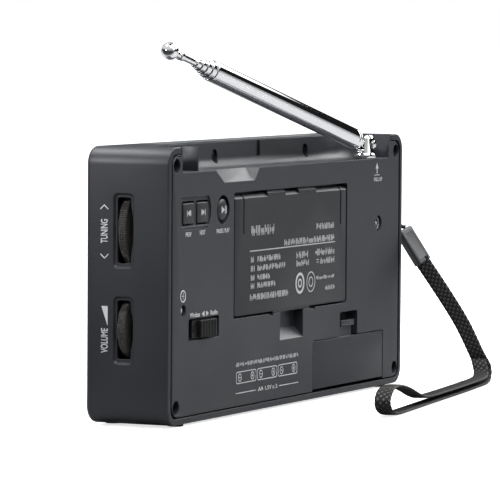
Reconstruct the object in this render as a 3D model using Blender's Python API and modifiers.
"""A pocket shortwave receiver, as separate pieces with real joints.

World frame: X along the long side, Y from the front panel (-Y) to the rear cover (+Y), Z up.
The origin is the middle of the case's underside. Lengths below are in millimetres and become
metres in the helpers. The antenna is shown raised and the strap lies on the floor behind.
"""

import math

import bmesh
import bpy
from mathutils import Matrix, Vector

MM = 0.001
GAP = 0.3

# case
WIDTH = 183.0
HEIGHT = 86.0
DEPTH = 28.5
WALL = 2.0
CORNER = 5.5
FRONT_ROUND = 1.6
BACK = DEPTH / 2
FRONT = -DEPTH / 2
SIDE = WIDTH / 2

# rear cover
COVER_X = 88.4
COVER_LOW = 2.4
COVER_HIGH = 83.6
COVER_INNER = 12.05
SCREW_X = 85.6
SCREW_Z = (5.5, 80.2)
WELL_R = 2.25

# antenna trough
TROUGH_FLOOR = 78.0
TROUGH_WALL = 3.0
TROUGH_RIGHT = -79.3
TROUGH_LEFT = 70.4
POCKET_LEFT = 81.8

# antenna
PIVOT = Vector((-66.6, 10.75, 83.0))
ANTENNA_RAISE = math.radians(12.9)
ANTENNA_TURN = math.radians(-1.85)
ANTENNA_LENGTH = 145.0
TUBE_START = 6.5
TUBE_END = 117.6
TUBE_STEP = 2.6
TUBE_WALL = 0.2
TUBE_R = (3.5, 3.0, 2.5, 2.0, 1.5)
ROD_R = 1.0
BALL_R = 2.75

# thumbwheels
TUNING = Vector((78.5, -0.7, 60.4))
TUNING_R = 13.4
VOLUME = Vector((82.3, -0.7, 29.7))
VOLUME_R = 10.0
WHEEL_T = 3.0

# stand
STAND_X = 43.6
STAND_LOW = 31.1
STAND_HIGH = 69.7
STAND_AXIS = Vector((0.0, 12.9, 68.8))

# battery bay
CELL_R = 7.1
CELL_L = 50.3
CELL_Y = 3.4
CELL_Z = 11.2
BAY = (-79.0, 76.0, -4.6, 11.4, 3.2, 18.9)
DOOR = (-75.3, -17.2, 3.1, 19.0)
DOOR_AXIS = Vector((0.0, 12.7, 4.1))

# speaker
SPEAKER = Vector((-52.0, -11.9, 45.0))
SPEAKER_R = 28.0

# front keys
KEY_COLUMNS = (-8.0, 12.0, 32.0, 52.0)
KEY_ROWS = (38.0, 26.0)

for old in list(bpy.data.objects):
    bpy.data.objects.remove(old)

PARTS = bpy.data.collections.new("shortwave_receiver")
CUTTERS = bpy.data.collections.new("cutters")
bpy.context.scene.collection.children.link(PARTS)
bpy.context.scene.collection.children.link(CUTTERS)


def material(name, colour, roughness, metallic=0.0):
    made = bpy.data.materials.new(name)
    made.use_nodes = True
    made.diffuse_color = (*colour, 1.0)
    shader = made.node_tree.nodes["Principled BSDF"]
    shader.inputs["Base Color"].default_value = (*colour, 1.0)
    shader.inputs["Roughness"].default_value = roughness
    shader.inputs["Metallic"].default_value = metallic
    return made


CASE = material("case_plastic", (0.05, 0.055, 0.06), 0.5)
COVER = material("cover_plastic", (0.085, 0.09, 0.1), 0.55)
KEYS = material("key_plastic", (0.1, 0.1, 0.11), 0.5)
BLACK = material("black_plastic", (0.02, 0.02, 0.02), 0.4)
TOP = material("top_bar_plastic", (0.2, 0.2, 0.2), 0.5)
CHROME = material("chrome", (0.85, 0.85, 0.86), 0.1, 1.0)
STEEL = material("steel", (0.5, 0.5, 0.5), 0.35, 1.0)
BRAID = material("braid", (0.03, 0.03, 0.03), 0.9)
RUBBER = material("rubber", (0.02, 0.02, 0.02), 0.8)
GLASS = material("lens", (0.3, 0.35, 0.35), 0.1)
DISPLAY = material("display", (0.25, 0.3, 0.24), 0.4)
BOARD = material("circuit_board", (0.03, 0.18, 0.07), 0.5)
FERRITE = material("ferrite", (0.06, 0.055, 0.05), 0.6)
COPPER = material("copper_winding", (0.6, 0.3, 0.12), 0.4, 1.0)
PAPER = material("cone_paper", (0.05, 0.05, 0.05), 0.9)
CELL = material("cell_sleeve", (0.1, 0.25, 0.5), 0.4)
LAMP = material("lamp", (0.9, 0.9, 0.88), 0.3)


def finish(name, bm, group, paint=None, origin=(0, 0, 0), smooth=False):
    """Turns a bmesh drawn in millimetres in the world into an object with this origin."""
    origin = Vector(origin)
    bmesh.ops.recalc_face_normals(bm, faces=bm.faces)
    bmesh.ops.translate(bm, verts=bm.verts, vec=-origin)
    bmesh.ops.scale(bm, verts=bm.verts, vec=(MM, MM, MM))
    mesh = bpy.data.meshes.new(name)
    bm.to_mesh(mesh)
    bm.free()
    made = bpy.data.objects.new(name, mesh)
    made.location = origin * MM
    group.objects.link(made)
    if group is CUTTERS:
        made.hide_render = True
        made.display_type = "WIRE"
    if paint:
        mesh.materials.append(paint)
    if smooth:
        mesh.shade_smooth()
    return made


def box_mesh(x0, x1, y0, y1, z0, z1):
    bm = bmesh.new()
    bmesh.ops.create_cube(bm, size=1.0)
    bmesh.ops.scale(bm, verts=bm.verts, vec=(x1 - x0, y1 - y0, z1 - z0))
    bmesh.ops.translate(bm, verts=bm.verts, vec=((x0 + x1) / 2, (y0 + y1) / 2, (z0 + z1) / 2))
    return bm


def box(name, bounds, group=CUTTERS, paint=None, origin=(0, 0, 0), bevel=0.0, segments=1):
    made = finish(name, box_mesh(*bounds), group, paint, origin)
    if bevel:
        round_edges(made, bevel, segments)
    return made


def round_edges(made, width, segments=1, angle=40.0):
    modifier = made.modifiers.new("rounding", "BEVEL")
    modifier.width = width * MM
    modifier.segments = segments
    modifier.limit_method = "ANGLE"
    modifier.angle_limit = math.radians(angle)
    return modifier


def aligned(axis):
    return Vector((0, 0, 1)).rotation_difference(Vector(axis)).to_matrix().to_4x4()


def rod(name, start, end, radius, group=CUTTERS, paint=None, origin=(0, 0, 0), sides=24, end_radius=None):
    """A cylinder or cone between two points."""
    start = Vector(start)
    end = Vector(end)
    bm = bmesh.new()
    bmesh.ops.create_cone(
        bm,
        cap_ends=True,
        segments=sides,
        radius1=radius,
        radius2=radius if end_radius is None else end_radius,
        depth=(end - start).length,
    )
    place = Matrix.Translation((start + end) / 2) @ aligned(end - start)
    bmesh.ops.transform(bm, matrix=place, verts=bm.verts)
    return finish(name, bm, group, paint, origin, smooth=False)


def turned(name, profile, origin, axis, group=PARTS, paint=None, steps=16, closed=False):
    """A Screw of the profile's (radius, height) points about the axis through the origin."""
    mesh = bpy.data.meshes.new(name)
    points = [(r * MM, 0.0, h * MM) for r, h in profile]
    edges = [(i, i + 1) for i in range(len(points) - 1)]
    if closed:
        edges.append((len(points) - 1, 0))
    mesh.from_pydata(points, edges, [])
    made = bpy.data.objects.new(name, mesh)
    made.location = Vector(origin) * MM
    made.rotation_euler = aligned(axis).to_euler()
    group.objects.link(made)
    if group is CUTTERS:
        made.hide_render = True
        made.display_type = "WIRE"
    if paint:
        mesh.materials.append(paint)
    screw = made.modifiers.new("turning", "SCREW")
    screw.axis = "Z"
    screw.angle = math.tau
    screw.steps = steps
    screw.render_steps = steps
    screw.use_merge_vertices = True
    screw.merge_threshold = 0.00001
    screw.use_smooth_shade = True
    return made


def rounded_outline(x0, x1, z0, z1, radius, steps=4):
    """Corner points of a rounded rectangle, anticlockwise."""
    points = []
    corners = ((x1, z1, 0), (x0, z1, 90), (x0, z0, 180), (x1, z0, 270))
    for cx, cz, first in corners:
        mx = cx - math.copysign(radius, cx - (x0 + x1) / 2)
        mz = cz - math.copysign(radius, cz - (z0 + z1) / 2)
        for k in range(steps + 1):
            angle = math.radians(first + 90 * k / steps)
            points.append((mx + radius * math.cos(angle), mz + radius * math.sin(angle)))
    return points


def slab(name, outline, y0, y1, group=CUTTERS, paint=None, origin=(0, 0, 0)):
    """A flat outline in X and Z, extruded from y0 to y1 as a filled 2D curve."""
    curve = bpy.data.curves.new(name, "CURVE")
    curve.dimensions = "2D"
    curve.fill_mode = "BOTH"
    curve.extrude = (y1 - y0) / 2 * MM
    spline = curve.splines.new("POLY")
    spline.points.add(len(outline) - 1)
    for point, (x, z) in zip(spline.points, outline):
        point.co = (x * MM, z * MM, 0.0, 1.0)
    spline.use_cyclic_u = True
    drawn = bpy.data.objects.new(name + "_outline", curve)
    bpy.context.scene.collection.objects.link(drawn)
    drawn.rotation_euler = (math.radians(90), 0.0, 0.0)
    drawn.location = (0.0, (y0 + y1) / 2 * MM, 0.0)
    bpy.context.view_layer.update()
    graph = bpy.context.evaluated_depsgraph_get()
    flat = bpy.data.meshes.new_from_object(drawn.evaluated_get(graph))
    bm = bmesh.new()
    bm.from_mesh(flat)
    bmesh.ops.transform(bm, matrix=drawn.matrix_world, verts=bm.verts)
    bmesh.ops.scale(bm, verts=bm.verts, vec=(1 / MM, 1 / MM, 1 / MM))
    bmesh.ops.remove_doubles(bm, verts=bm.verts, dist=0.001)
    bpy.data.objects.remove(drawn)
    return finish(name, bm, group, paint, origin)


def boolean(host, tools, operation):
    for tool in tools:
        modifier = host.modifiers.new(operation.lower(), "BOOLEAN")
        modifier.operation = operation
        modifier.solver = "EXACT"
        modifier.object = tool
    return host


def join(host, *tools):
    return boolean(host, tools, "UNION")


def cut(host, *tools):
    return boolean(host, tools, "DIFFERENCE")


def parent(child, holder):
    child.parent = holder
    child.matrix_parent_inverse = holder.matrix_basis.inverted()


def empty(name, place):
    made = bpy.data.objects.new(name, None)
    made.location = Vector(place) * MM
    made.empty_display_size = 0.005
    PARTS.objects.link(made)
    return made


# ---------------------------------------------------------------- front case
case = slab(
    "front_case",
    rounded_outline(-SIDE, SIDE, 0, HEIGHT, CORNER, 5),
    FRONT,
    BACK,
    PARTS,
    CASE,
)
edge = round_edges(case, FRONT_ROUND, 2, 60)
edge.limit_method = "WEIGHT"
weights = case.data.attributes.new("bevel_weight_edge", "FLOAT", "EDGE")
for index, drawn_edge in enumerate(case.data.edges):
    ends = [case.data.vertices[v].co for v in drawn_edge.vertices]
    weights.data[index].value = 1.0 if all(end.y < FRONT * MM * 0.99 for end in ends) else 0.0
cavity = slab(
    "case_cavity",
    rounded_outline(-SIDE + WALL, SIDE - WALL, WALL, HEIGHT - WALL, CORNER - WALL, 4),
    FRONT + WALL,
    BACK + 2,
)
cut(case, cavity)
bosses = []
for x in (-SCREW_X, SCREW_X):
    for z in SCREW_Z:
        tag = f"{'left' if x > 0 else 'right'}_{'low' if z < 40 else 'high'}"
        bosses.append(rod(f"boss_{tag}", (x, FRONT + 1, z), (x, -0.5, z), 2.6, sides=16))
for x in (-34.5, 35.6):
    bosses.append(box(f"top_rib_{'left' if x > 0 else 'right'}", (x - 2.8, x + 2.8, -3.2, 0.9, 78.8, 85)))
join(case, *bosses)
case_cuts = [
    # the cover's trough breaks through the top wall
    box("trough_opening", (TROUGH_RIGHT - 2.0, POCKET_LEFT + 1.2, 1.4, BACK + 2, 75, HEIGHT + 2)),
    # slots of the two thumbwheels, each with a shallow wider mouth
    box("tuning_mouth", (SIDE - 1.0, SIDE + 2, -4.3, 1.9, 48.9, 71.3)),
    box("tuning_slot", (SIDE - 3, SIDE + 2, -3.5, 1.5, 50.0, 70.4)),
    box("volume_mouth", (SIDE - 1.0, SIDE + 2, -4.2, 1.9, 19.2, 39.4)),
    box("volume_slot", (SIDE - 3, SIDE + 2, -3.4, 1.5, 20.4, 38.6)),
    # display pocket and window
    box("lens_pocket", (-17.3, 59.3, FRONT - 1, FRONT + 1.2, 45.2, 74.3)),
    box("display_window", (-13, 55, FRONT - 1, FRONT + 4, 49, 71)),
    # speaker opening with a ledge for its grille
    rod("grille_pocket", (-52, FRONT - 1, 45), (-52, FRONT + 1.2, 45), 26.3, sides=40),
    rod("speaker_opening", (-52, FRONT - 1, 45), (-52, FRONT + 4, 45), 24.6, sides=40),
    # top bar key
    box("top_key_slot", (-66.4, 60.4, -10.6, -4.0, 80, HEIGHT + 2)),
    # headphone socket hole and strap holes in the far end
    rod("phones_hole", (-SIDE - 2, -2, 34), (-SIDE + 4, -2, 34), 2.7, sides=16),
    box("strap_hole_high", (-SIDE - 2, -SIDE + 4, 2.4, 6.0, 60.3, 63.5)),
    box("strap_hole_low", (-SIDE - 2, -SIDE + 4, 2.4, 6.0, 55.2, 58.4)),
    # power key
    rod("power_hole", (70.5, FRONT - 1, 36), (70.5, FRONT + 4, 36), 4.8, sides=20),
]
for i, x in enumerate(KEY_COLUMNS):
    for j, z in enumerate(KEY_ROWS):
        case_cuts.append(
            box(f"key_hole_{4 * j + i + 1}", (x - 7.8, x + 7.8, FRONT - 1, FRONT + 4, z - 3.8, z + 3.8))
        )
for x in (-SCREW_X, SCREW_X):
    for z in SCREW_Z:
        tag = f"{'left' if x > 0 else 'right'}_{'low' if z < 40 else 'high'}"
        case_cuts.append(rod(f"thread_{tag}", (x, -9, z), (x, 1, z), 1.25, sides=10))
for x in (-34.5, 35.6):
    case_cuts.append(
        rod(f"rib_thread_{'left' if x > 0 else 'right'}", (x, -4, 81.6), (x, 2, 81.6), 1.25, sides=10)
    )
for i, (x, y) in enumerate(((79, 10.8), (-79, 10.8), (79, -10.8), (-79, -10.8))):
    case_cuts.append(rod(f"foot_socket_{i + 1}", (x, y, -1), (x, y, 1.0), 3.0, sides=16))
cut(case, *case_cuts)

# ---------------------------------------------------------------- rear cover
cover = slab(
    "back_cover",
    rounded_outline(-COVER_X, COVER_X, COVER_LOW, COVER_HIGH, 4.0, 4),
    COVER_INNER,
    BACK,
    PARTS,
    COVER,
)
cover_adds = [
    box("trough_block", (TROUGH_RIGHT - 1.6, POCKET_LEFT + 0.8, 1.8, 12.6, 76.2, HEIGHT)),
    box("trough_cheek", (TROUGH_RIGHT - 1.6, POCKET_LEFT + 0.8, 12.0, BACK, 82.0, HEIGHT)),
    box("stand_block", (-46.2, 46.2, 10.0, 12.6, 28.8, 72.2)),
    box("grip_block", (-10.4, 10.4, 6.8, 12.6, 19.8, 32.0)),
    box("latch_block", (-55.0, -37.6, 9.6, 12.6, 18.0, 28.8)),
    box("bay_block", (BAY[0] - 1.2, BAY[1] + 1.2, BAY[2] - 1.2, 12.6, COVER_LOW, BAY[5] + 1.2)),
    box("switch_block", (53.6, 78.4, 11.2, 12.6, 24.2, 33.8)),
]
for x in (-SCREW_X, SCREW_X):
    for z in SCREW_Z:
        tag = f"{'left' if x > 0 else 'right'}_{'low' if z < 40 else 'high'}"
        cover_adds.append(rod(f"well_{tag}", (x, 0.0, z), (x, 12.6, z), 2.7, sides=16))
join(cover, *cover_adds)

trough_profile = [(TROUGH_WALL, HEIGHT + 4), (TROUGH_WALL, TROUGH_FLOOR + 3.6)]
for k in range(1, 5):
    turn = math.radians(180 + 90 * k / 4)
    trough_profile.append(
        (TROUGH_WALL + 3.6 + 3.6 * math.cos(turn), TROUGH_FLOOR + 3.6 + 3.6 * math.sin(turn))
    )
trough_profile += [(BACK + 3, TROUGH_FLOOR), (BACK + 3, HEIGHT + 4)]
trough = bmesh.new()
trough_face = trough.faces.new([trough.verts.new((TROUGH_RIGHT, y, z)) for y, z in trough_profile])
swept = bmesh.ops.extrude_face_region(trough, geom=[trough_face])
bmesh.ops.translate(
    trough,
    verts=[v for v in swept["geom"] if isinstance(v, bmesh.types.BMVert)],
    vec=(TROUGH_LEFT - TROUGH_RIGHT + 0.5, 0, 0),
)
trough_cut = finish("trough", trough, CUTTERS)

finger_notch = slab(
    "finger_notch",
    [(57.9, 80.0), (51.6, 74.0), (28.9, 74.0), (25.2, 80.0)],
    BACK - 1.6,
    BACK + 2,
)

key_well = [(82.4, 69.4), (82.4, 61.2)]
for k in range(9):
    turn = math.radians(-34 + 68 * k / 8)
    key_well.append((68.7 - 7.4 * math.cos(turn), 65.3 + 7.4 * math.sin(turn)))

cover_cuts = [
    trough_cut,
    box("tip_pocket", (TROUGH_LEFT, POCKET_LEFT, 2.8, BACK + 3, TROUGH_FLOOR, HEIGHT + 4)),
    finger_notch,
    rod("post_hole", (PIVOT.x, PIVOT.y, 74), (PIVOT.x, PIVOT.y, 80), 2.5, sides=20),
    box("post_pocket", (PIVOT.x - 3.4, PIVOT.x + 3.4, 7, 13.65, 64.5, 76.8)),
    box("cable_slit", (1.3, 3.9, 0.5, 4.0, 80.8, HEIGHT + 2)),
    slab("key_well", key_well, 9, BACK + 2),
    rod("play_hole", (52.4, 9, 65.5), (52.4, BACK + 2, 65.5), 4.45, sides=28),
    box("stand_bay", (-44.4, 44.4, 11.1, BACK + 2, 30.4, 70.6)),
    rod("stand_pivot", (-46.0, STAND_AXIS.y, STAND_AXIS.z), (46.0, STAND_AXIS.y, STAND_AXIS.z), 1.0, sides=12),
    box("grip_recess", (-9, 9, 8.2, BACK + 2, 21.3, 31.0)),
    box("latch_window", (-53.6, -39.0, 10.8, BACK + 2, 18.5, 27.4)),
    box("battery_bay", BAY),
    box("door_opening", (DOOR[0] - GAP, DOOR[1] + GAP, 8.0, BACK + 2, 3.2, DOOR[3] + GAP)),
    box("door_sill", (DOOR[0] - GAP, DOOR[1] + GAP, 11.2, BACK + 2, 1.5, 4.0)),
    box("switch_recess", (55.1, 77.0, 12.5, BACK + 2, 25.6, 32.4)),
    box("switch_slot", (59.0, 72.5, 9, BACK + 2, 28.1, 29.9)),
    rod("power_hole_rear", (-71, 9, 55.9), (-71, BACK + 2, 55.9), 2.7, sides=20),
    rod("lamp_hole", (80.65, 9, 35.3), (80.65, BACK + 2, 35.3), 1.85, sides=16),
]
for x in (-SCREW_X, SCREW_X):
    for z in SCREW_Z:
        tag = f"{'left' if x > 0 else 'right'}_{'low' if z < 40 else 'high'}"
        cover_cuts.append(rod(f"head_well_{tag}", (x, 3.5, z), (x, BACK + 2, z), WELL_R, sides=20))
        cover_cuts.append(rod(f"shank_hole_{tag}", (x, -1, z), (x, 5, z), 1.25, sides=10))
for x in (-34.5, 35.6):
    tag = "left" if x > 0 else "right"
    cover_cuts.append(rod(f"trough_shank_hole_{tag}", (x, 0, 81.6), (x, 5, 81.6), 1.25, sides=10))
    cover_cuts.append(rod(f"trough_head_hole_{tag}", (x, 2.6, 81.6), (x, 9, 81.6), 2.3, sides=16))
cut(cover, *cover_cuts)

# ---------------------------------------------------------------- screws and feet
number = 0
for x in (SCREW_X, -SCREW_X):
    for z in SCREW_Z:
        number += 1
        turned(
            f"corner_screw_{number}",
            [(0, 1.5), (1.2, 1.5), (1.85, 0.9), (1.85, 0), (0.85, 0), (0.85, -10.5), (0, -11.3)],
            (x, 3.8, z),
            (0, 1, 0),
            paint=STEEL,
            steps=10,
        )
for number, x in enumerate((35.6, -34.5)):
    turned(
        f"trough_screw_{number + 1}",
        [(0, 0.9), (1.2, 0.9), (1.8, 0.4), (1.8, 0), (0.85, 0), (0.85, -5.2), (0, -5.7)],
        (x, 2.9, 81.6),
        (0, 1, 0),
        paint=STEEL,
        steps=10,
    )
for i, (x, y) in enumerate(((79, 10.8), (-79, 10.8), (79, -10.8), (-79, -10.8))):
    turned(
        f"foot_{i + 1}",
        [(0, 0.7), (2.6, 0.7), (2.6, -0.4), (2.2, -0.8), (0, -0.8)],
        (x, y, 0),
        (0, 0, 1),
        paint=RUBBER,
        steps=14,
    )

# ---------------------------------------------------------------- front panel pieces
box("display_lens", (-17, 59, FRONT, FRONT + 0.9, 45.5, 74), PARTS, GLASS)
box("display_module", (-15, 57, -11.95, -8.3, 46, 73), PARTS, DISPLAY, bevel=0.4)
grille = turned(
    "speaker_grille",
    [(0, 1.0), (26.0, 1.0), (26.0, 0), (0, 0)],
    (-52, FRONT + 1.0, 45),
    (0, -1, 0),
    paint=BLACK,
    steps=40,
)
slots = []
for k in range(9):
    z = 45 + (k - 4) * 4.8
    half = math.sqrt(22.5**2 - (z - 45) ** 2) if abs(z - 45) < 22.5 else 0
    slots.append(box(f"grille_slot_{k + 1}", (-52 - half, -52 + half, FRONT - 1, FRONT + 3, z - 1.1, z + 1.1)))
cut(grille, *slots)
speaker_frame = turned(
    "speaker_frame",
    [(0, 0), (SPEAKER_R, 0), (SPEAKER_R, -1.2), (25.2, -1.8), (14.5, -8.2), (14.5, -15.6), (0, -15.6)],
    SPEAKER,
    (0, -1, 0),
    paint=STEEL,
    steps=28,
)
basket_hollow = turned(
    "basket_hollow",
    [(0, 1), (24.2, 1), (24.2, -1.2), (13.4, -7.6), (11.5, -8.8), (0, -8.8)],
    SPEAKER,
    (0, -1, 0),
    CUTTERS,
    steps=28,
)
cut(speaker_frame, basket_hollow)
turned(
    "speaker_cone",
    [(0, -4.4), (6, -5.6), (21, -0.9), (23.6, -0.4), (23.6, -0.9), (21.2, -1.7), (6.2, -6.4), (0, -6.4)],
    SPEAKER,
    (0, -1, 0),
    paint=PAPER,
    steps=28,
)
top_key = box("top_bar_key", (-66, 60, -10.2, -4.4, 83.6, HEIGHT), PARTS, TOP, (-3, -7.3, HEIGHT), 0.25)
join(top_key, box("top_key_flange", (-68, 62, -11.6, -4.4, 82.8, 83.7)))
for i, x in enumerate(KEY_COLUMNS):
    for j, z in enumerate(KEY_ROWS):
        key = box(
            f"front_key_{4 * j + i + 1}",
            (x - 7.4, x + 7.4, FRONT - 0.8, -11.4, z - 3.4, z + 3.4),
            PARTS,
            KEYS,
            (x, FRONT, z),
            0.5,
        )
        join(
            key,
            box(f"key_flange_{4 * j + i + 1}", (x - 8.6, x + 8.6, -11.9, -11.1, z - 4.6, z + 4.6)),
            box(f"key_stem_{4 * j + i + 1}", (x - 1.5, x + 1.5, -11.5, -8.5, z - 1.5, z + 1.5)),
        )
turned(
    "power_key",
    [(0, 0.8), (4.0, 0.8), (4.4, 0.4), (4.4, -2.3), (5.6, -2.3), (5.6, -3.1), (1.5, -3.1), (1.5, -5.7), (0, -5.7)],
    (70.5, FRONT, 36),
    (0, -1, 0),
    paint=KEYS,
    steps=20,
)

# ---------------------------------------------------------------- inside
box("main_board", (-20, 62, -7.6, -6.4, 22, 72.5), PARTS, BOARD)
rod("ferrite_rod", (-55, -7.9, 77.7), (35, -7.9, 77.7), 3.1, PARTS, FERRITE, sides=16)
turned(
    "ferrite_coil",
    [(4.0, 11), (4.0, -11), (3.45, -11), (3.45, 11)],
    (8, -7.9, 77.7),
    (1, 0, 0),
    paint=COPPER,
    steps=20,
    closed=True,
)
encoder = box("tuning_encoder", (72, 85, 1.4, 6.4, 54, 67), PARTS, BLACK, TUNING, 0.4)
cut(encoder, rod("encoder_bore", (TUNING.x, 0, TUNING.z), (TUNING.x, 5, TUNING.z), 1.9, sides=16))
control = box("volume_control", (76, 88.4, 1.4, 6.8, 23.5, 36), PARTS, BLACK, VOLUME, 0.4)
cut(control, rod("control_bore", (VOLUME.x, 0, VOLUME.z), (VOLUME.x, 5, VOLUME.z), 1.9, sides=16))


def thumbwheel(name, centre, radius, ribs, depth):
    """A disc with grooves cut across its rim and a stub shaft towards +Y, its origin on the axis."""
    half = WHEEL_T / 2
    steps = 2 * ribs
    wheel = turned(
        name,
        [(0, 4.4), (1.5, 4.4), (1.5, half), (radius - 0.5, half), (radius, half - 0.4), (radius, 0.4 - half)]
        + [(radius - 0.5, -half), (0, -half)],
        centre,
        (0, 1, 0),
        paint=BLACK,
        steps=steps,
    )
    teeth = bmesh.new()
    for k in range(ribs):
        made = bmesh.ops.create_cube(teeth, size=1.0)["verts"]
        bmesh.ops.scale(teeth, verts=made, vec=(2 * depth, WHEEL_T + 1, math.tau * radius / ribs * 0.42))
        place = Matrix.Rotation(math.tau * (k + 0.5) / ribs, 4, "Y") @ Matrix.Translation((radius, 0, 0))
        bmesh.ops.transform(teeth, matrix=Matrix.Translation(centre) @ place, verts=made)
    cut(wheel, finish(name + "_grooves", teeth, CUTTERS))
    return wheel


thumbwheel("tuning_wheel", TUNING, TUNING_R, 24, 0.5)
thumbwheel("volume_wheel", VOLUME, VOLUME_R, 24, 0.3)

# ---------------------------------------------------------------- rear controls
for name, x0, x1 in (("previous_key", 72.9, 80.8), ("next_key", 62.9, 70.9)):
    key = box(name, (x0, x1, 11.3, BACK - 0.1, 62.0, 68.5), PARTS, KEYS, ((x0 + x1) / 2, BACK, 65.3), 0.3)
    join(key, box(name + "_flange", (x0 - 0.2, x1 + 0.2, 10.8, 11.7, 60.2, 70.4)))
turned(
    "play_pause_key",
    [(0, 0.1), (3.5, 0.1), (3.9, -0.3), (3.9, -2.6), (5.4, -2.6), (5.4, -3.4), (0, -3.4)],
    (52.4, BACK, 65.5),
    (0, 1, 0),
    paint=KEYS,
    steps=24,
)
knob = box("switch_knob", (58.2, 73.2, 12.8, 13.6, 26.1, 31.9), PARTS, BLACK, (65.7, 12.8, 29.0))
join(
    knob,
    box("knob_grip", (58.2, 69.6, 13.4, 15.2, 26.3, 31.7)),
    box("knob_stem", (60.5, 67.5, 9.6, 13.0, 28.4, 29.6)),
    box("knob_keeper", (60.5, 67.5, 9.6, 10.8, 26.6, 31.4)),
)
rib_cuts = []
for k in range(5):
    x = 59.9 + 2.0 * k
    rib_cuts.append(box(f"knob_rib_{k + 1}", (x, x + 0.8, 14.6, 16, 25, 33)))
cut(knob, *rib_cuts)
socket = box("dc_jack", (-75.5, -66.5, 1.0, 11.7, 51.4, 60.4), PARTS, BLACK, (-71, 11.7, 55.9), 0.4)
cut(socket, rod("jack_bore", (-71, 3.0, 55.9), (-71, 13, 55.9), 2.5, sides=20))
join(socket, rod("jack_pin", (-71, 2.0, 55.9), (-71, 10.5, 55.9), 0.75, sides=10))
phones = box("headphone_jack", (-89.2, -78.5, -5.5, 1.5, 30.5, 37.5), PARTS, BLACK, (-89.2, -2, 34), 0.4)
cut(phones, rod("phones_bore", (-91, -2, 34), (-80, -2, 34), 1.8, sides=16))
turned(
    "indicator_led",
    [(0, 0.9), (0.9, 0.7), (1.4, 0.0), (1.4, -4.6), (2.2, -4.6), (2.2, -5.4), (0, -5.4)],
    (80.65, 12.6, 35.3),
    (0, 1, 0),
    paint=LAMP,
    steps=14,
)

# ---------------------------------------------------------------- stand
stand = slab(
    "stand",
    rounded_outline(-STAND_X, STAND_X, STAND_LOW, STAND_HIGH, 0.9, 2),
    12.0,
    14.2,
    PARTS,
    COVER,
    STAND_AXIS,
)
join(
    stand,
    rod("stand_pins", (-45.2, STAND_AXIS.y, STAND_AXIS.z), (45.2, STAND_AXIS.y, STAND_AXIS.z), 0.65, sides=10),
    box("stand_arm_left", (5, 19, 12.3, 13.2, 69.0, 70.1)),
    box("stand_arm_right", (-19, -5, 12.3, 13.2, 69.0, 70.1)),
)
cut(
    stand,
    box("stand_slit_left", (36.6, 37.4, 10, 16, 57.0, 72)),
    box("stand_slit_right", (-39.4, -38.6, 10, 16, 57.0, 72)),
    box("stand_lip", (-17, 17, 10, 16, 30, STAND_LOW + 0.6)),
)
stand_bevel = bmesh.new()
wedge = stand_bevel.faces.new(
    [stand_bevel.verts.new((-50, y, z)) for y, z in ((14.4, 68.9), (14.4, 71), (12.9, 71), (12.9, 69.9))]
)
grown = bmesh.ops.extrude_face_region(stand_bevel, geom=[wedge])
bmesh.ops.translate(
    stand_bevel,
    verts=[v for v in grown["geom"] if isinstance(v, bmesh.types.BMVert)],
    vec=(100, 0, 0),
)
cut(stand, finish("stand_top_bevel", stand_bevel, CUTTERS))

# ---------------------------------------------------------------- battery door and cells
door = box("battery_door", (DOOR[0], DOOR[1], 12.1, 14.2, DOOR[2], DOOR[3]), PARTS, COVER, DOOR_AXIS)
join(
    door,
    box("latch_tongue", (-51.2, -41.4, 12.1, 13.0, 18, 24.4)),
    box("latch_pad", (-51.7, -40.9, 12.1, 14.0, 22.4, 24.4)),
)
for k in range(3):
    start = -78.2 + k * (CELL_L + GAP)
    turned(
        f"battery_{k + 1}",
        [(0, CELL_L), (2.6, CELL_L), (2.6, CELL_L - 1.3), (CELL_R, CELL_L - 1.3), (CELL_R, 0), (0, 0)],
        (start, CELL_Y, CELL_Z),
        (1, 0, 0),
        paint=CELL,
        steps=16,
    )
box("battery_contact", (-78.95, -78.55, CELL_Y - 4, CELL_Y + 4, CELL_Z - 4, CELL_Z + 4), PARTS, STEEL)
spring_curve = bpy.data.curves.new("battery_spring", "CURVE")
spring_curve.dimensions = "3D"
spring_curve.bevel_depth = 0.25 * MM
spring_curve.bevel_resolution = 1
spring_curve.use_fill_caps = True
spring_line = spring_curve.splines.new("POLY")
SPRING_POINTS = 28
spring_line.points.add(SPRING_POINTS - 1)
for k, point in enumerate(spring_line.points):
    share = k / (SPRING_POINTS - 1)
    angle = math.tau * 2.5 * share
    radius = 2.2 + 2.0 * share
    point.co = (
        (73.95 + 1.65 * share) * MM,
        (CELL_Y + radius * math.cos(angle)) * MM,
        (CELL_Z + radius * math.sin(angle)) * MM,
        1.0,
    )
spring = bpy.data.objects.new("battery_spring", spring_curve)
PARTS.objects.link(spring)
spring_curve.materials.append(STEEL)

# ---------------------------------------------------------------- antenna
TURN = Matrix.Rotation(ANTENNA_TURN, 4, "Z")
AIM = TURN @ Matrix.Rotation(-ANTENNA_RAISE, 4, "Y")
ALONG = (AIM @ Vector((1, 0, 0))).normalized()
ACROSS = (TURN @ Vector((0, 1, 0))).normalized()


def on_antenna(distance):
    return PIVOT + ALONG * distance


def turn_bmesh(bm, matrix):
    bmesh.ops.transform(bm, matrix=Matrix.Translation(PIVOT) @ matrix, verts=bm.verts)


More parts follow.
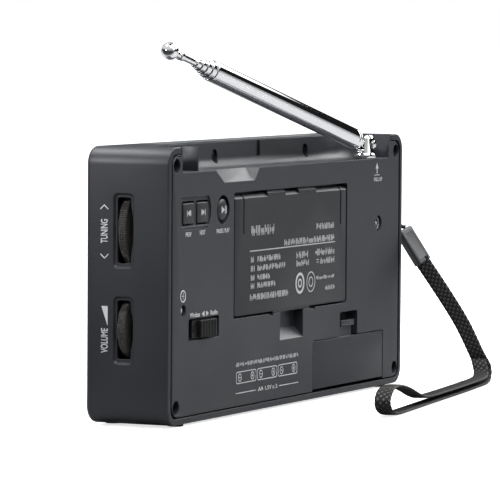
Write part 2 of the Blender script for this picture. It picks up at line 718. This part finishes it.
lift = empty("antenna_lift_axis", PIVOT)
post = turned(
    "antenna_post",
    [(0, -3.5), (1.5, -3.5), (1.5, -5.1), (2.2, -5.1), (2.2, -15.8), (2.6, -15.8), (2.6, -17), (0, -17)],
    PIVOT,
    (0, 0, 1),
    paint=CHROME,
    steps=20,
)
knuckle = turned(
    "antenna_knuckle",
    [(0, 3.2), (2.5, 3.2), (3.3, 2.3), (3.3, -3.4), (3.8, -3.7), (3.8, -4.65), (0, -4.65)],
    PIVOT,
    (0, 0, 1),
    paint=CHROME,
    steps=20,
)
slot = box_mesh(-6, 6, -1.35, 1.35, -2.6, 6)
turn_bmesh(slot, TURN)
ear_hole = bmesh.new()
bmesh.ops.create_cone(ear_hole, cap_ends=True, segments=12, radius1=1.05, radius2=1.05, depth=10)
turn_bmesh(ear_hole, TURN @ Matrix.Rotation(math.pi / 2, 4, "X"))
cut(
    knuckle,
    finish("knuckle_slot", slot, CUTTERS),
    finish("knuckle_bore", ear_hole, CUTTERS),
    rod("knuckle_seat", PIVOT + Vector((0, 0, -6)), PIVOT + Vector((0, 0, -3.2)), 1.8, sides=16),
)
turned(
    "antenna_pin",
    [(0, 4.1), (1.2, 4.1), (1.3, 3.6), (0.75, 3.6), (0.75, -3.6), (1.3, -3.6), (1.2, -4.1), (0, -4.1)],
    PIVOT,
    ACROSS,
    paint=CHROME,
    steps=12,
)
first = turned(
    "antenna_tube_1",
    [
        (0, TUBE_END),
        (3.2, TUBE_END),
        (TUBE_R[0], TUBE_END - 0.8),
        (TUBE_R[0], TUBE_START + 1.0),
        (2.2, TUBE_START),
        (1.9, TUBE_START),
        (1.9, 4.2),
        (0, 4.2),
    ],
    PIVOT,
    ALONG,
    paint=CHROME,
    steps=20,
)
tongue = bmesh.new()
bmesh.ops.create_cube(tongue, size=1.0)
bmesh.ops.scale(tongue, verts=tongue.verts, vec=(6.0, 2.1, 3.4))
bmesh.ops.translate(tongue, verts=tongue.verts, vec=(2.0, 0, 0))
turn_bmesh(tongue, AIM)
tongue_end = bmesh.new()
bmesh.ops.create_cone(tongue_end, cap_ends=True, segments=16, radius1=2.1, radius2=2.1, depth=2.1)
turn_bmesh(tongue_end, AIM @ Matrix.Rotation(math.pi / 2, 4, "X"))
eye = bmesh.new()
bmesh.ops.create_cone(eye, cap_ends=True, segments=12, radius1=1.05, radius2=1.05, depth=10)
turn_bmesh(eye, AIM @ Matrix.Rotation(math.pi / 2, 4, "X"))
join(first, finish("tongue", tongue, CUTTERS), finish("tongue_end", tongue_end, CUTTERS))
tube_bore = rod("tube_bore", on_antenna(9.0), on_antenna(200.0), TUBE_R[0] - TUBE_WALL, sides=20)
cut(first, finish("tongue_eye", eye, CUTTERS), tube_bore)

sections = [first]
for k in range(1, 5):
    outer = TUBE_R[k]
    near = 9.0 + 1.6 * k
    far = TUBE_END + TUBE_STEP * k
    sections.append(
        turned(
            f"antenna_tube_{k + 1}",
            [
                (outer - TUBE_WALL - 0.02, far),
                (outer - 0.05, far - 0.25),
                (outer, far - 0.6),
                (outer, near),
                (outer - TUBE_WALL, near),
                (outer - TUBE_WALL, far - 0.4),
            ],
            PIVOT,
            ALONG,
            paint=CHROME,
            steps=16,
            closed=True,
        )
    )
tip_profile = [(0, ANTENNA_LENGTH + BALL_R)]
for k in range(1, 8):
    angle = math.radians(90 - 160 * k / 7)
    tip_profile.append((BALL_R * math.cos(angle), ANTENNA_LENGTH + BALL_R * math.sin(angle)))
tip_profile += [(ROD_R, ANTENNA_LENGTH - 2.6), (ROD_R, 138.6), (1.35, 138.4), (1.35, 136.8), (ROD_R, 136.6)]
tip_profile += [(ROD_R, 18.0), (0, 18.0)]
sections.append(turned("antenna_tip", tip_profile, PIVOT, ALONG, paint=CHROME, steps=16))
for section in sections:
    parent(section, lift)
parent(knuckle, lift)
parent(post, lift)

# ---------------------------------------------------------------- strap
BAND_WIDTH = 5.2
BAND_THICK = 1.1
ACROSS_HANG = Vector((-0.42, 0.91, 0.0)).normalized()
CLAMP_TOP = Vector((-96.0, 12.8, 52.6))
CLAMP_END = Vector((-99.0, 19.2, 41.2))
CLAMP_AXIS = (CLAMP_END - CLAMP_TOP).normalized()
CLAMP_NORMAL = ACROSS_HANG.cross(CLAMP_AXIS).normalized()
CLAMP_WIDE = CLAMP_AXIS.cross(CLAMP_NORMAL).normalized()


def smooth_line(route, count):
    """Evenly spaced points on a Catmull-Rom curve through the route, with the route's data blended."""
    samples = []
    last = len(route) - 1
    for i in range(last):
        before = route[max(i - 1, 0)]
        after = route[min(i + 2, last)]
        for s in range(16):
            t = s / 16
            samples.append(
                0.5
                * (
                    2 * route[i]
                    + (route[i + 1] - before) * t
                    + (2 * before - 5 * route[i] + 4 * route[i + 1] - after) * t * t
                    + (3 * route[i] - before - 3 * route[i + 1] + after) * t**3
                )
            )
    samples.append(route[last])
    lengths = [0.0]
    for a, b in zip(samples, samples[1:]):
        lengths.append(lengths[-1] + (b - a).length)
    points = []
    k = 0
    for n in range(count):
        want = lengths[-1] * n / (count - 1)
        while k < len(lengths) - 2 and lengths[k + 1] < want:
            k += 1
        share = (want - lengths[k]) / max(lengths[k + 1] - lengths[k], 1e-9)
        points.append(samples[k].lerp(samples[k + 1], min(share, 1.0)))
    return points


# the band leaves the clamp, lies along the floor, turns over in a loop and comes back on itself
HANG = [(-99.3, 19.8, 40.0), (-102.2, 26.0, 30.0), (-104.9, 31.6, 20.0), (-106.9, 35.9, 10.3)]
BACK_LAYER = [Vector(p) - CLAMP_NORMAL * 0.75 for p in HANG]
FRONT_LAYER = [Vector(p) + CLAMP_NORMAL * 0.75 for p in HANG]
LOOP = [
    (-109.2, 38.2, 4.8),
    (-107.8, 38.8, 1.2),
    (-103.0, 39.6, -0.15),
    (-85.0, 42.6, -0.2),
    (-60.0, 46.2, -0.2),
    (-30.0, 50.2, -0.2),
    (0.0, 54.4, -0.2),
    (16.0, 56.6, 0.0),
    (23.6, 57.7, 1.7),
    (26.0, 58.0, 5.0),
    (21.5, 57.4, 8.2),
    (12.0, 56.1, 8.5),
    (0.0, 54.4, 6.3),
    (-13.0, 52.6, 2.9),
    (-24.0, 51.0, 1.45),
    (-50.0, 47.6, 1.3),
    (-80.0, 43.4, 1.3),
    (-99.0, 40.4, 1.4),
    (-104.6, 39.2, 2.6),
    (-106.4, 38.0, 5.6),
]
ROUTE = BACK_LAYER + [Vector(p) for p in LOOP] + FRONT_LAYER[::-1]
line = smooth_line(ROUTE, 70)
band = bmesh.new()
rows = []
for k, point in enumerate(line):
    ahead = (line[min(k + 1, len(line) - 1)] - line[max(k - 1, 0)]).normalized()
    wide = CLAMP_WIDE.lerp(ACROSS_HANG, min(1.0, max(0.0, (38.0 - point.z) / 24.0)))
    wide = (wide - ahead * wide.dot(ahead)).normalized()
    thick = ahead.cross(wide).normalized()
    rows.append(
        [
            band.verts.new(point + wide * sx * BAND_WIDTH / 2 + thick * sy * BAND_THICK / 2)
            for sx, sy in ((-1, -1), (1, -1), (1, 1), (-1, 1))
        ]
    )
for first_row, second_row in zip(rows, rows[1:]):
    for i in range(4):
        j = (i + 1) % 4
        band.faces.new((first_row[i], first_row[j], second_row[j], second_row[i]))
band.faces.new(rows[0][::-1])
band.faces.new(rows[-1])
finish("strap_band", band, PARTS, BRAID)

clamp = bmesh.new()
bmesh.ops.create_cube(clamp, size=1.0)
bmesh.ops.scale(clamp, verts=clamp.verts, vec=(6.2, 4.2, (CLAMP_END - CLAMP_TOP).length))
frame = Matrix((CLAMP_WIDE, CLAMP_NORMAL, CLAMP_AXIS)).transposed().to_4x4()
bmesh.ops.transform(clamp, matrix=Matrix.Translation((CLAMP_TOP + CLAMP_END) / 2) @ frame, verts=clamp.verts)
round_edges(finish("strap_clamp", clamp, PARTS, BLACK), 0.7, 2)

top_middle = CLAMP_TOP - CLAMP_AXIS * GAP
cord_route = [
    top_middle + CLAMP_WIDE * 1.2,
    top_middle + CLAMP_WIDE * 1.15 - CLAMP_AXIS * 3.0,
    Vector((-94.6, 6.6, 60.6)),
    Vector((-92.6, 4.6, 61.9)),
    Vector((-90.2, 4.2, 61.9)),
    Vector((-88.3, 4.2, 60.8)),
    Vector((-87.9, 4.2, 59.3)),
    Vector((-88.3, 4.2, 57.8)),
    Vector((-90.2, 4.2, 56.8)),
    Vector((-92.6, 4.6, 56.8)),
    Vector((-94.6, 6.8, 56.4)),
    top_middle - CLAMP_WIDE * 1.15 - CLAMP_AXIS * 2.4,
    top_middle - CLAMP_WIDE * 1.2,
]
cord_curve = bpy.data.curves.new("strap_cord", "CURVE")
cord_curve.dimensions = "3D"
cord_curve.bevel_depth = 0.65 * MM
cord_curve.bevel_resolution = 2
cord_curve.use_fill_caps = True
cord_line = cord_curve.splines.new("POLY")
cord_points = smooth_line(cord_route, 26)
cord_line.points.add(len(cord_points) - 1)
for point, place in zip(cord_line.points, cord_points):
    point.co = (*(place * MM), 1.0)
cord = bpy.data.objects.new("strap_cord", cord_curve)
PARTS.objects.link(cord)
cord_curve.materials.append(BRAID)
